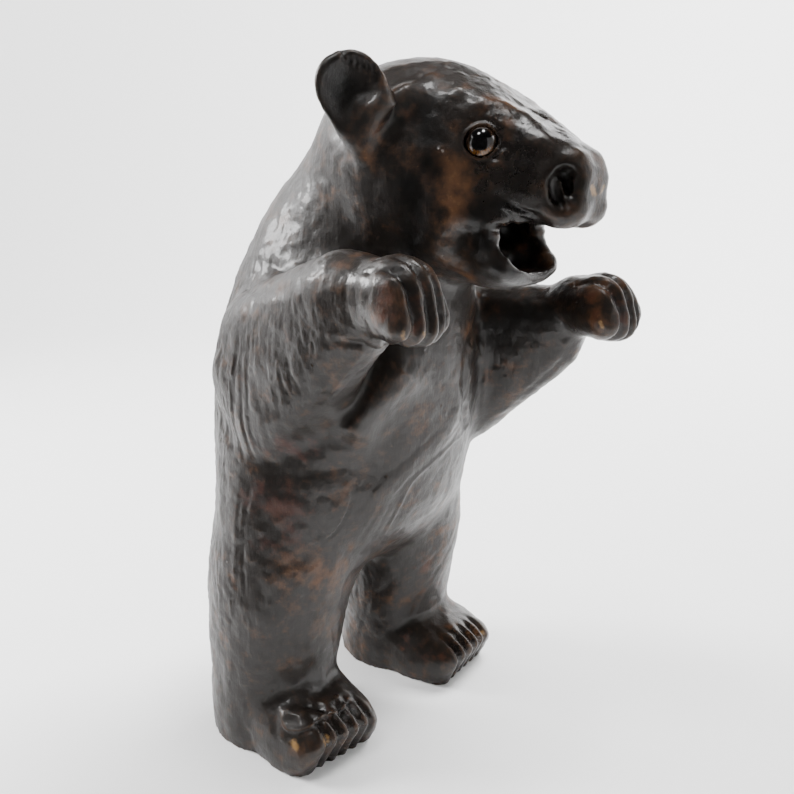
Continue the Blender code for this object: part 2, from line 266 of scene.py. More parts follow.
# The heights where the wrinkles begin above the feet and end below the head, each with the
# distance over which they fade, and the least share left on the head
WRINKLE_FEET = (12, 20)
WRINKLE_HEAD = (195, 35)
WRINKLE_HEAD_LEAST = 0.15

# The hollows that the finish follows, the broad ones darkened as painted shade: the name, and the
# rounds of easing that level them
HOLLOWS = (("fine_hollow", 4), ("broad_hollow", 24))

# The share of stains, and of painted shade and highlights, on the side that mirrors the one where
# they were laid, and how many times their own reach they spread before they are cut off
MIRRORED_FINISH = 0.7
FINISH_SPREAD = 2.2

# Where the finish differs, with painted shade and a painted highlight among its places: (points,
# reach, how much)
WARM = (
    (((436, 158), (452, 180), (458, 205)), 4, 0.8),
    (((466, 180), (458, 215), (436, 250)), 4, 0.5),
    (((505, 104), (530, 114)), 4, 0.5),
    (((355, 140), (368, 165)), 5, 0.6),
    (((300, 562), (338, 588)), 7, 0.6),
    (((330, 620), (345, 640)), 8, 0.4),
    (((395, 300), (380, 320)), 5, 0.4),
    (((595, 300), (600, 325)), 4, 0.8),
    (((448, 262), (468, 276)), 4, 0.5),
)
RED = (
    (((388, 275), (392, 330)), 4, 0.6),
    (((412, 275), (416, 325)), 3.5, 0.7),
    (((430, 285), (434, 320)), 3, 0.5),
    (((590, 295), (600, 325)), 4, 0.8),
    (((610, 292), (622, 322)), 4, 0.8),
    (((520, 248), (542, 258)), 3, 0.6),
    (((252, 498), (285, 505), (296, 535)), 8, 1.0),
    (((255, 540), (290, 548)), 5, 0.8),
    (((268, 445), (306, 448)), 6, 0.9),
    (((377, 288), (384, 320)), 3.5, 0.7),
    (((420, 560), (450, 600)), 8, 0.6),
    (((400, 640), (440, 655)), 6, 0.5),
)
TAN = (
    (((592, 187), (594, 194)), 1.4, 0.8),
    # painted highlight: a tan streak on the nostril's fold, for its shine
    (((559, 188), (565, 195), (570, 204)), 0.8, 0.7),
    (((403, 333), (403, 339)), 1.0, 0.6),
    (((425, 333), (425, 339)), 1.0, 0.6),
    (((326, 738), (327, 743)), 1.5, 0.9),
    (((293, 742), (296, 748)), 1.6, 0.7),
    (((342, 757), (344, 759)), 0.9, 1.0),
    (((600, 322), (602, 327)), 1.0, 0.6),
)
# Painted shade: near-black laid in the creases by the temple, neck and jaw, below the brow, under the
# upper lip, in the mouth, nostril and ear, above the near paw and under the far arm
PAINTED_SHADE = (
    (((425, 105), (428, 140), (432, 170)), 5, 0.9),
    (((408, 185), (415, 215), (412, 250)), 5, 1.0),
    (((476, 218), (484, 238), (494, 262), (520, 280)), 5, 1.0),
    (((498, 206), (520, 212), (545, 222)), 4, 0.9),
    (((520, 140), (525, 165), (515, 190)), 6, 0.7),
    (((560, 172), (572, 200)), 4.5, 0.8),
    (((395, 262), (405, 285)), 4, 0.7),
    (((500, 330), (520, 320), (560, 300)), 8, 0.8),
    (((330, 60), (340, 100)), 6, 0.6),
)

# Where the lacquer is glossier: (centre, reach)
GLOSSY = (
    ((1.5, -45, 200), 42),
    ((-47.5, -38, 164), 20),
    ((42, -52, 155), 22),
    ((-35, -4, 12), 24),
    ((38, -4, 12), 24),
)

# The lacquer's colours, and the blacks of its painted shade
LACQUER = (0.0105, 0.0076, 0.006)
WARM_BROWN = (0.08, 0.0345, 0.0135)
RED_BROWN = (0.040, 0.0125, 0.0085)
SPECKLE_BROWN = (0.12, 0.060, 0.025)
RIDGE_BROWN = (0.070, 0.036, 0.018)
BARE_TAN = (0.22, 0.125, 0.045)
PAINTED_VALLEY_SHADE = (0.0045, 0.0036, 0.003)
PAINTED_SHADE_BLACK = (0.003, 0.0026, 0.0024)

# The sizes, in millimetres, of what mottles it and of the pores and streaks in it
PATCH_SIZE = 16
CLOUD_SIZE = 5
FLECK_SIZE = 1.3
PORE_SIZE = 0.45
STREAK_SIZE = 0.8
STREAK_STRETCH = (1.0, 1.0, 7.0)

# The eye's colours, with AMBER_SHADED as painted shade on the amber's upper part, and the angles
# from its axis where its pupil and its iris end, in radians
AMBER_DEEP = (0.016, 0.006, 0.002)
AMBER_BRIGHT = (0.11, 0.045, 0.008)
AMBER_SHADED = (0.012, 0.006, 0.003)
PUPIL_BLACK = (0.001, 0.001, 0.001)
RIM_BROWN = (0.006, 0.004, 0.003)
PUPIL_EDGE = (0.68, 0.78)
IRIS_EDGE = (0.95, 1.15)

# The dark flag: (radius, height) up it in metres, and how far round it goes each way from the
# camera, in degrees
FLAG_PROFILE = ((0.22, 0.0006), (0.5, 0.0006), (0.5, 0.55))
FLAG_TURNS = (-80, 30)
FLAG_STOPS = 30
FLAG_BLACK = (0.02, 0.02, 0.02, 1)

# The paper floor, in metres: how far it lies flat, the radius of its sweep and how high it rises,
# and the stops up the sweep and all round
FLOOR_REACH = 0.9
SWEEP_RADIUS = 0.7
PAPER_RISE = 1.3
SWEEP_STOPS = 14
ROUND_STOPS = 97
PAPER_WHITE = (0.88, 0.88, 0.88, 1)

# The lights, as the camera sees the bear: (name, place right, back and up of STUDIO_MIDDLE, how
# far behind it the light aims, size, watts), in metres. Softboxes show in the lacquer.
STUDIO_MIDDLE = UP * 0.13
LIGHTS = (
    ("left_softbox", (-0.68, 0.16, 0.42), 0, (0.26, 0.26), 10.5),
    ("top_softbox", (0.08, -0.02, 0.75), 0, (0.2, 0.12), 2.8),
    ("crown_softbox", (-0.25, -0.2, 0.78), 0, (0.14, 0.14), 2.6),
    ("right_softbox", (0.7, -0.05, 0.45), 0, (0.22, 0.22), 0.9),
    ("front_fill", (-0.15, -0.9, 0.35), 0, (0.8, 0.8), 0.7),
    ("paper_light", (0.55, 0.6, 1.1), 1.3, (0.8, 0.8), 62),
)
WORLD_LIGHT = 0.04


def camera_axes():
    """The ways that the camera looks, its right and its up."""
    ahead = (Vector(CAMERA_AIM) - Vector(CAMERA_PLACE)).normalized()
    across = ahead.cross(UP).normalized()
    return ahead, across, across.cross(ahead)


def skin(piece):
    """The piece's points and the way its skin faces at each, in millimetres."""
    found = []
    for field in ("co", "normal"):
        values = np.empty(3 * len(piece.data.vertices), np.float32)
        piece.data.vertices.foreach_get(field, values)
        found.append(values.reshape(-1, 3).astype(float))
    return found[0] / MM, found[1]


def moved(piece, spots):
    """The piece's points put at these places, in millimetres."""
    piece.data.vertices.foreach_set("co", (spots * MM).astype(np.float32).ravel())
    piece.data.update()


def baked(piece):
    """The piece with its modifiers made part of its mesh."""
    graph = bpy.context.evaluated_depsgraph_get()
    mesh = bpy.data.meshes.new_from_object(piece.evaluated_get(graph))
    piece.modifiers.clear()
    piece.data = mesh
    return piece


def new_piece(name, build):
    mesh = bpy.data.meshes.new(name)
    build.to_mesh(mesh)
    build.free()
    piece = bpy.data.objects.new(name, mesh)
    bpy.context.scene.collection.objects.link(piece)
    return piece


def finished(piece, material):
    """The piece shaded smooth, in one material."""
    for face in piece.data.polygons:
        face.use_smooth = True
    piece.data.materials.clear()
    piece.data.materials.append(material)
    return piece


def thinned(piece, triangles):
    """The piece with so many triangles left."""
    piece.data.calc_loop_triangles()
    reduce = piece.modifiers.new("reduce", "DECIMATE")
    reduce.ratio = triangles / len(piece.data.loop_triangles)
    return baked(piece)


def eased(piece, rounds, shares=None):
    """The piece smoothed for so many rounds, each point by its share."""
    ease = piece.modifiers.new("ease", "SMOOTH")
    ease.factor = 0.5
    ease.iterations = rounds
    if shares is not None:
        group = piece.vertex_groups.new(name="ease")
        steps = np.round(shares * EASE_STEPS).astype(int)
        for step in range(1, EASE_STEPS + 1):
            points = np.nonzero(steps == step)[0].tolist()
            group.add(points, step / EASE_STEPS, "REPLACE")
        ease.vertex_group = group.name
    baked(piece)
    piece.vertex_groups.clear()
    return piece


def by_balls(spots, balls):
    """1 round the balls' middles, falling to 0 at their edges."""
    most = np.zeros(len(spots))
    for centre, reach in balls:
        away = np.linalg.norm(spots - centre, axis=1) / reach
        most = np.maximum(most, np.clip(PLACE_FALL - PLACE_FALL * away, 0, 1))
    return most


class Skin:
    """The eased skin, on which marks are laid."""

    def __init__(self, piece):
        spots, _ = skin(piece)
        corners = np.empty(len(piece.data.loops), np.int32)
        piece.data.loops.foreach_get("vertex_index", corners)
        self.tree = BVHTree.FromPolygons(spots.tolist(), corners.reshape(-1, 4).tolist())

    def seen(self, place):
        """The skin's point at a place in the camera's frame."""
        ahead, across, upward = camera_axes()
        reach = LENS / SENSOR * FRAME_SIDE
        u, v = place
        rightward = (u - FRAME_SIDE / 2) / reach
        rise = (FRAME_SIDE / 2 - v) / reach
        sight = ahead + across * rightward + upward * rise
        return self.tree.ray_cast(Vector(CAMERA_PLACE), sight.normalized())[0]

    def laid(self, points):
        """A flowing path on the skin through points in the frame or in space."""
        stops = [Vector(p) if len(p) == 3 else self.seen(p) for p in points]
        stops = [stop for stop in stops if stop is not None]
        if len(stops) < 2:
            return None
        rows = np.array([2 * stops[0] - stops[1], *stops, 2 * stops[-1] - stops[-2]])
        path = []
        for before, start, end, after in zip(rows, rows[1:], rows[2:], rows[3:]):
            for t in np.arange(PATH_STEPS) / PATH_STEPS:
                path.append(
                    start
                    + 0.5 * t * (end - before)
                    + t * t * (before - 2.5 * start + 2 * end - 0.5 * after)
                    + t * t * t * (1.5 * (start - end) + 0.5 * (after - before))
                )
        path.append(rows[-2])
        return self.drawn_in(path)

    def drawn_in(self, path):
        """A path's points, each at its nearest place on the skin."""
        return np.array([self.tree.find_nearest(Vector(p))[0] for p in path])


def mirrored(path):
    """The path on the bear's other side."""
    return path * (-1, 1, 1) + (2 * MIDDLE_X, 0, 0)


def from_path(spots, outward, path, reach):
    """For the points near a path: which they are, how far away, how far along, and on which side."""
    near = np.all((spots > path.min(axis=0) - reach) & (spots < path.max(axis=0) + reach), axis=1)
    which = np.nonzero(near)[0]
    closest = np.full(len(which), np.inf)
    along = np.zeros(len(which))
    side = np.zeros(len(which))
    lengths = np.linalg.norm(np.diff(path, axis=0), axis=1)
    passed = np.concatenate(([0], np.cumsum(lengths)))
    for start, end, length, before in zip(path, path[1:], lengths, passed):
        way = (end - start) / max(length, 1e-6)
        share = np.clip((spots[which] - start) @ way, 0, length)
        offset = spots[which] - start - share[:, None] * way
        away = np.linalg.norm(offset, axis=1)
        better = away < closest
        closest[better] = away[better]
        along[better] = (before + share)[better]
        turned = np.einsum("ij,ij->i", np.cross(way, offset), outward[which])
        side[better] = np.sign(turned)[better]
    return which, closest, along, passed[-1], side


def cut_shape(cut, away, side):
    """How deep a cut is at so many breadths from its line.

    A soft cut is round, a sharp one narrow between two lips, and a lapped one falls off slowly on
    one side and rises to a lip on the other.
    """
    if cut == "soft":
        return np.exp(-(away**2))
    if cut == "sharp":
        lip = np.exp(-((away - LIP_PLACE) ** 2) / LIP_SPREAD)
        return np.exp(-1.4 * away**1.2) - SHARP_LIP * lip
    low_side = np.exp(-1.1 * away)
    edge = np.exp(-8 * away**2)
    high_side = -LAP_LIP * np.exp(-2.5 * away**2) + LAP_LIP * edge + edge
    return np.where(side > 0, low_side, high_side)


def marked(spots, outward, path, breadth, depth, cut="soft", closed=False):
    """The skin pressed in by depth along a path."""
    which, away, along, length, side = from_path(spots, outward, path, MARK_REACH * breadth)
    fade = 1
    if not closed and length > SHORT_MARK * breadth:
        to_end = np.minimum(along, length - along)
        fade = np.clip(to_end / (END_SHARE * length) + END_DEPTH, 0, 1)
    push = depth * cut_shape(cut, away / breadth, side) * fade
    spots[which] -= outward[which] * push[:, None]


def marked_sides(ground, spots, outward, path, breadth, depth, cut="soft", sides=2):
    """A mark along a path, and along its mirror image where both sides have it."""
    marked(spots, outward, path, breadth, depth, cut)
    if sides == 2:
        marked(spots, outward, ground.drawn_in(mirrored(path)), breadth, depth, cut)


def eye_place(side):
    """An eye's middle and the way it faces, from its solid."""
    low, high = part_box("eye_right" if side < 0 else "eye_left")
    facing = Vector((side * EYE_AXIS[0], EYE_AXIS[1], EYE_AXIS[2])).normalized()
    return (Vector(low) + Vector(high)) / 2, facing


def ring_path(ground, side, radius):
    """A ring on the skin round an eye."""
    centre, facing = eye_place(side)
    across = UP.cross(facing).normalized()
    upward = facing.cross(across)
    ring = []
    for turn in np.arange(RING_STOPS + 1) * 2 * math.pi / RING_STOPS:
        spoke = across * math.cos(turn) + upward * math.sin(turn)
        ring.append(centre / MM + radius * spoke + facing * RING_START)
    return ground.drawn_in(ring)


def wire(tree, kind, inputs=None, **settings):
    """A node with its settings and its inputs, each a value or another node's socket."""
    node = tree.nodes.new(kind)
    for name, value in settings.items():
        setattr(node, name, value)
    for key, value in (inputs or {}).items():
        if isinstance(value, bpy.types.NodeSocket):
            tree.links.new(value, node.inputs[key])
        else:
            node.inputs[key].default_value = value
    return node


def maths(tree, operation, *values, clamp=False):
    """A sum worked on numbers or sockets."""
    node = wire(tree, "ShaderNodeMath", dict(enumerate(values)), operation=operation, use_clamp=clamp)
    return node.outputs[0]


def vectors(tree, operation, *values):
    """A sum worked on vectors or their sockets."""
    node = tree.nodes.new("ShaderNodeVectorMath")
    node.operation = operation
    for key, value in enumerate(values):
        socket = node.inputs[key] if operation != "SCALE" or key == 0 else node.inputs["Scale"]
        if isinstance(value, bpy.types.NodeSocket):
            tree.links.new(value, socket)
        else:
            socket.default_value = value
    return node.outputs["Value" if operation in ("DOT_PRODUCT", "LENGTH", "DISTANCE") else "Vector"]


def geometry_tree(name, inputs):
    """An empty tree with named inputs, its input node and the geometry it starts from."""
    tree = bpy.data.node_groups.new(name, "GeometryNodeTree")
    tree.interface.new_socket("Geometry", in_out="OUTPUT", socket_type="NodeSocketGeometry")
    tree.interface.new_socket("Geometry", in_out="INPUT", socket_type="NodeSocketGeometry")
    for label, value in inputs.items():
        kind = "NodeSocketVector" if isinstance(value, tuple) else "NodeSocketFloat"
        tree.interface.new_socket(label, in_out="INPUT", socket_type=kind).default_value = value
    return tree, tree.nodes.new("NodeGroupInput").outputs


def closed_tree(tree, geometry, offset, material):
    """The tree's end: the skin moved by offset, realized and given its material."""
    move = wire(tree, "GeometryNodeSetPosition", {"Geometry": geometry, "Offset": offset})
    real = wire(tree, "GeometryNodeRealizeInstances", {"Geometry": move.outputs[0]})
    faced = wire(tree, "GeometryNodeSetMaterial", {"Geometry": real.outputs[0], "Material": material})
    wire(tree, "NodeGroupOutput", {"Geometry": faced.outputs[0]})
    return tree


def worked(piece, tree, **values):
    """The piece with a tree's work made part of its mesh."""
    step = piece.modifiers.new(tree.name, "NODES")
    step.node_group = tree
    for item in tree.interface.items_tree:
        value = values.get(item.name.replace(" ", "_").lower())
        if item.in_out == "INPUT" and value is not None:
            step[item.identifier] = value
    return baked(piece)


def pleat_tree(material):
    """Rounded fingers side by side, parted by sharp valleys in the skin."""
    tree, given = geometry_tree(
        "pleats",
        {
            "Root": (0.0, 0.0, 0.0),
            "Tip": (0.0, 0.0, 1.0),
            "Count": 5.0,
            "Breadth": 0.005,
            "Depth": 0.001,
            "Fullness": 0.5,
        },
    )
    place = tree.nodes.new("GeometryNodeInputPosition").outputs[0]
    normal = tree.nodes.new("GeometryNodeInputNormal").outputs[0]
    run = vectors(tree, "SUBTRACT", given["Tip"], given["Root"])
    down = vectors(tree, "NORMALIZE", run)
    across = vectors(tree, "NORMALIZE", vectors(tree, "CROSS_PRODUCT", down, (0.0, 1.0, 0.0)))
    facing = vectors(tree, "CROSS_PRODUCT", down, across)
    turned = vectors(tree, "DOT_PRODUCT", normal, facing)
    away = vectors(tree, "SUBTRACT", place, given["Root"])
    sway = wire(
        tree, "ShaderNodeTexNoise", {"Vector": place, "Scale": 140.0, "Detail": 1.0}
    ).outputs[0]
    order = maths(tree, "DIVIDE", vectors(tree, "DOT_PRODUCT", away, across), given["Breadth"])
    order = maths(tree, "ADD", order, maths(tree, "MULTIPLY", given["Count"], 0.5))
    bent = maths(tree, "ADD", order, maths(tree, "MULTIPLY_ADD", sway, 0.5, -0.25))
    reach = maths(
        tree,
        "DIVIDE",
        vectors(tree, "DOT_PRODUCT", away, down),
        vectors(tree, "LENGTH", run),
    )
    # The pleats fade at the row's two sides and past its two ends, where the skin turns away from
    # the row, and on whatever lies far before or behind it.
    inside = maths(tree, "MULTIPLY_ADD", order, 2.0, -1.0, clamp=True)
    left = maths(tree, "SUBTRACT", given["Count"], order)
    for share in (
        maths(tree, "MULTIPLY_ADD", left, 2.0, -1.0, clamp=True),
        maths(tree, "MULTIPLY_ADD", reach, 4.0, 0.6, clamp=True),
        maths(tree, "MULTIPLY_ADD", reach, -4.0, 5.0, clamp=True),
        maths(tree, "MULTIPLY_ADD", turned, 1.6, 0.5, clamp=True),
        maths(
            tree,
            "LESS_THAN",
            maths(tree, "ABSOLUTE", vectors(tree, "DOT_PRODUCT", away, facing)),
            maths(tree, "MULTIPLY", given["Breadth"], 3.0),
        ),
    ):
        inside = maths(tree, "MULTIPLY", inside, share)
    wave = maths(tree, "ABSOLUTE", maths(tree, "SINE", maths(tree, "MULTIPLY", bent, math.pi)))
    valley = maths(tree, "SUBTRACT", 1.0, maths(tree, "POWER", wave, given["Fullness"]))
    depth = maths(tree, "MULTIPLY", maths(tree, "MULTIPLY", valley, inside), given["Depth"])
    offset = vectors(tree, "SCALE", normal, maths(tree, "MULTIPLY", depth, -1.0))
    return closed_tree(tree, given["Geometry"], offset, material)


def stretched_noise(tree, place, sizes, detail, seed):
    """Noise whose lumps have these sizes along X, Y and Z, in metres."""
    scaled = vectors(tree, "DIVIDE", place, sizes)
    return wire(
        tree,
        "ShaderNodeTexNoise",
        {"Vector": scaled, "W": seed, "Scale": 1.0, "Detail": detail, "Roughness": 0.5},
        noise_dimensions="4D",
    ).outputs[0]


def evenly(tree, size):
    """One size along all three axes."""
    return wire(tree, "ShaderNodeCombineXYZ", {0: size, 1: size, 2: size}).outputs[0]


def about_zero(tree, noise):
    """Noise that ran from 0 to 1, now from -1 to 1."""
    return maths(tree, "MULTIPLY_ADD", noise, 2.0, -1.0)


def creases(tree, noise, sharpness):
    """1 on the winding lines where noise passes its middle, falling off beside them."""
    away = maths(tree, "ABSOLUTE", about_zero(tree, noise))
    return maths(tree, "POWER", maths(tree, "SUBTRACT", 1.0, away, clamp=True), sharpness)


def kept_note(tree, name):
    """What was noted on the piece's points under a name."""
    kind = "GeometryNodeInputNamedAttribute"
    return wire(tree, kind, {"Name": name}, data_type="FLOAT").outputs[0]


def relief_tree(material):
    """Lumps, dimples and long wrinkles in leather that was stretched wet and dried."""
    tree, given = geometry_tree(
        "leather_relief",
        {
            "Lump size": 0.01,
            "Lump height": 0.0009,
            "Dimple size": 0.003,
            "Dimple height": 0.0002,
            "Wander size": 0.02,
            "Wander": (0.012, 0.012, 0.006),
            "Wrinkle size": (0.0034, 0.0034, 0.02),
            "Wrinkle depth": 0.0004,
            "Wrinkle sharpness": 7.0,
            "Patch size": (0.03, 0.03, 0.045),
            "Crinkle size": 0.0048,
            "Crinkle depth": 0.0002,
            "Crinkle sharpness": 5.0,
            "Seed": 3.0,
        },
    )
    place = tree.nodes.new("GeometryNodeInputPosition").outputs[0]
    normal = tree.nodes.new("GeometryNodeInputNormal").outputs[0]
    calm = kept_note(tree, "worked")

    def noise(at, sizes, detail):
        return stretched_noise(tree, at, sizes, detail, given["Seed"])

    lumps = noise(place, evenly(tree, given["Lump size"]), 2.0)
    lumps = maths(tree, "MULTIPLY", about_zero(tree, lumps), given["Lump height"])
    dimples = noise(place, evenly(tree, given["Dimple size"]), 2.0)
    dimples = maths(tree, "MULTIPLY", about_zero(tree, dimples), given["Dimple height"])
    height = maths(tree, "ADD", lumps, dimples)
    height = maths(tree, "MULTIPLY", height, maths(tree, "MULTIPLY_ADD", calm, -0.35, 1.0))

    wander = noise(place, evenly(tree, given["Wander size"]), 1.0)
    bent = vectors(tree, "ADD", place, vectors(tree, "SCALE", given["Wander"], wander))
    patchy = noise(place, given["Patch size"], 1.0)
    patchy = maths(tree, "MULTIPLY_ADD", patchy, 4.0, -1.5, clamp=True)

    wrinkles = creases(tree, noise(bent, given["Wrinkle size"], 2.5), given["Wrinkle sharpness"])
    for share in (kept_note(tree, "wrinkled"), patchy, given["Wrinkle depth"]):
        wrinkles = maths(tree, "MULTIPLY", wrinkles, share)
    height = maths(tree, "SUBTRACT", height, wrinkles)

    crinkles = noise(bent, evenly(tree, given["Crinkle size"]), 1.5)
    crinkles = creases(tree, crinkles, given["Crinkle sharpness"])
    for share in (
        maths(tree, "SUBTRACT", 1.15, patchy, clamp=True),
        given["Crinkle depth"],
        maths(tree, "MULTIPLY_ADD", calm, -0.5, 1.0),
    ):
        crinkles = maths(tree, "MULTIPLY", crinkles, share)
    height = maths(tree, "SUBTRACT", height, crinkles)
    return closed_tree(tree, given["Geometry"], vectors(tree, "SCALE", normal, height), material)


def noted(piece, name, values):
    """Values kept on the piece's points under a name."""
    field = piece.data.attributes.get(name) or piece.data.attributes.new(name, "FLOAT", "POINT")
    field.data.foreach_set("value", values.astype(np.float32))


def touched(spots, ground, places):
    """How much of a finish each point has, from places on the skin and the same on the other side."""
    most = np.zeros(len(spots))
    for points, reach, strength in places:
        path = ground.laid(points)
        if path is None:
            continue
        ways = [(path, 1)]
        if path[:, 0].mean() < MIDDLE_X:
            ways.append((mirrored(path), MIRRORED_FINISH))
        for way, share in ways:
            which, away, *_ = from_path(spots, np.zeros_like(spots), way, FINISH_SPREAD * reach)
            most[which] = np.maximum(most[which], strength * share * np.exp(-((away / reach) ** 2)))
    return most


def even_skin(body):
    """The body's skin as an even mesh, eased except where it is worked."""
    build = bmesh.new()
    build.from_mesh(body.data)
    bmesh.ops.remove_doubles(build, verts=build.verts, dist=1e-6)
    leather = new_piece("bear_leather", build)
    remesh = leather.modifiers.new("even", "REMESH")
    remesh.mode = "VOXEL"
    remesh.voxel_size = LEATHER_GRAIN * MM
    baked(leather)
    spots, _ = skin(leather)
    kept = by_balls(spots, WORKED)
    off_ground = np.clip(spots[:, 2] / SOLE_HEIGHT, 0, 1)
    eased(leather, BROAD_ROUNDS, (1 - (1 - WORKED_EASE) * kept) * off_ground)
    eased(leather, FINE_ROUNDS, off_ground)
    return leather


def press_marks(ground, spots, outward):
    """The single marks pressed into the skin."""
    for points, breadth, depth, cut, sides in MARKS:
        path = ground.laid(points)
        if path is not None:
            marked_sides(ground, spots, outward, path, breadth, depth, cut, sides)


def press_fans(ground, spots, outward, stray):
    """The fans' folds, each straying a little and of its own strength."""
    for points, count, spread, breadth, depth, sides in FANS:
        for share in np.arange(count) / (count - 1):
            shift = np.array(spread) * share
            shift = shift + stray.uniform(-FAN_STRAY, FAN_STRAY, (len(points), 2))
            path = ground.laid([tuple(place) for place in np.array(points) + shift])
            if path is not None:
                strength = depth * stray.uniform(*FAN_STRENGTHS)
                marked_sides(ground, spots, outward, path, breadth, strength, sides=sides)


def press_ear_gathers(ground, spots, outward):
    """The short gathers in a row inside each ear's rim."""
    first, last, count, length = EAR_GATHERS
    middle_lean, end_lean = EAR_GATHER_LEAN
    for i in range(count):
        share = i / (count - 1)
        u = first[0] + share * (last[0] - first[0])
        v = first[1] + share * (last[1] - first[1])
        path = ground.laid(((u, v), (u + middle_lean, v + length / 2), (u + end_lean, v + length)))
        if path is not None:
            marked_sides(ground, spots, outward, path, *EAR_GATHER_CUT)


def press_eye_rings(ground, spots, outward, stray):
    """The tight ring round each eye, and the fine gathers that run out from it."""
    for side in (-1, 1):
        for radius, breadth, depth in EYE_RINGS:
            marked(spots, outward, ring_path(ground, side, radius), breadth, depth, closed=True)
        inner, outer = [ring_path(ground, side, radius) for radius in EYE_GATHER_RADII]
        for i in range(EYE_GATHERS):
            order = i + stray.uniform(-EYE_GATHER_STRAY, EYE_GATHER_STRAY)
            stop = round(order * RING_STOPS / EYE_GATHERS) % RING_STOPS
            path = np.array([inner[stop], outer[(stop + 1) % RING_STOPS]])
            depth = stray.uniform(*EYE_GATHER_DEPTHS)
            marked(spots, outward, path, EYE_GATHER_BREADTH, depth)


def fold_pleats(leather, pleats):
    """The rows of pleats over the fingers and the toes."""
    for root, tip, count, breadth, depth in PLEAT_ROWS:
        worked(
            leather,
            pleats,
            root=[n * MM for n in root],
            tip=[n * MM for n in tip],
            count=float(count),
            breadth=breadth * MM,
            depth=depth * MM,
            fullness=PLEAT_FULLNESS,
        )


def raise_relief(leather, relief):
    """The leather with its lumps and wrinkles. None of them goes below the ground."""
    spots, outward = skin(leather)
    noted(leather, "worked", by_balls(spots, WORKED))
    facing = WRINKLE_SHARE + WRINKLE_BACK * outward[:, 1] - WRINKLE_RIGHT * outward[:, 0]
    above_feet = np.clip((spots[:, 2] - WRINKLE_FEET[0]) / WRINKLE_FEET[1], 0, 1)
    below_head = (WRINKLE_HEAD[0] - spots[:, 2]) / WRINKLE_HEAD[1]
    share = above_feet * np.clip(below_head, WRINKLE_HEAD_LEAST, 1)
    noted(leather, "wrinkled", np.clip(facing, WRINKLE_LEAST, 1) * share)
    worked(leather, relief)
    raised, _ = skin(leather)
    raised[:, 2] = np.maximum(raised[:, 2], np.minimum(spots[:, 2], 0.0))
    moved(leather, raised)


def note_finish(leather, ground):
    """Where the lacquer is warmer, redder, worn to tan and glossier, where a highlight is painted in
    tan and where shade is painted darker.
    """
    spots, _ = skin(leather)
    for name, places in (("warm", WARM), ("red", RED), ("tan", TAN), ("dark", PAINTED_SHADE)):
        noted(leather, name, touched(spots, ground, places))
    noted(leather, "glossy", by_balls(spots, GLOSSY))


def note_hollows(leather):
    """How far each point lies below the same skin eased."""
    for name, rounds in HOLLOWS:
        copy = leather.copy()
        copy.data = leather.data.copy()
        bpy.context.scene.collection.objects.link(copy)
        eased(copy, rounds)
        smooth, _ = skin(copy)
        bpy.data.objects.remove(copy)
        spots, outward = skin(leather)
        noted(leather, name, np.einsum("ij,ij->i", smooth - spots, outward))


def build_leather(material):
    """The bear's leather, from its solid: eased, marked, pleated, wrinkled, thinned and noted."""
    leather = even_skin(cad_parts["bear_body"])
    ground = Skin(leather)
    spots, outward = skin(leather)
    stray = np.random.default_rng(STRAY_SEED)
    press_marks(ground, spots, outward)
    press_fans(ground, spots, outward, stray)
    press_ear_gathers(ground, spots, outward)
    press_eye_rings(ground, spots, outward, stray)
    moved(leather, spots)

    fold_pleats(leather, pleat_tree(material))
    raise_relief(leather, relief_tree(material))
    thinned(leather, LEATHER_TRIANGLES)
    note_finish(leather, ground)
    note_hollows(leather)
    return finished(leather, material)


def blend(tree, share, low, high):
    """A colour between two, by share."""
    node = wire(tree, "ShaderNodeMix", {"Factor": share}, data_type="RGBA", clamp_factor=True)
    for key, value in ((6, low), (7, high)):
        if isinstance(value, bpy.types.NodeSocket):
            tree.links.new(value, node.inputs[key])
        else:
            node.inputs[key].default_value = (*value, 1)
    return node.outputs[2]


def span(tree, value, low, high, to_low=0.0, to_high=1.0):
    """A value's way from low to high, eased at both ends."""
    return wire(
        tree,
        "ShaderNodeMapRange",
        {"Value": value, "From Min": low, "From Max": high, "To Min": to_low, "To Max": to_high},
        interpolation_type="SMOOTHSTEP",
    ).outputs[0]


def new_material(name):
    material = bpy.data.materials.new(name)
    material.use_nodes = True
    tree = material.node_tree
    return material, tree, tree.nodes["Principled BSDF"]


def grain(tree, place, size, detail, seed, stretch=(1.0, 1.0, 1.0)):
    """Noise on the object's own coordinates, its lumps size across in millimetres."""
    scaled = vectors(tree, "MULTIPLY", place, tuple(1 / (size * MM * s) for s in stretch))
    return wire(
        tree,
        "ShaderNodeTexNoise",
        {"Vector": scaled, "W": seed, "Scale": 1.0, "Detail": detail, "Roughness": 0.58},
        noise_dimensions="4D",
    ).outputs[0]


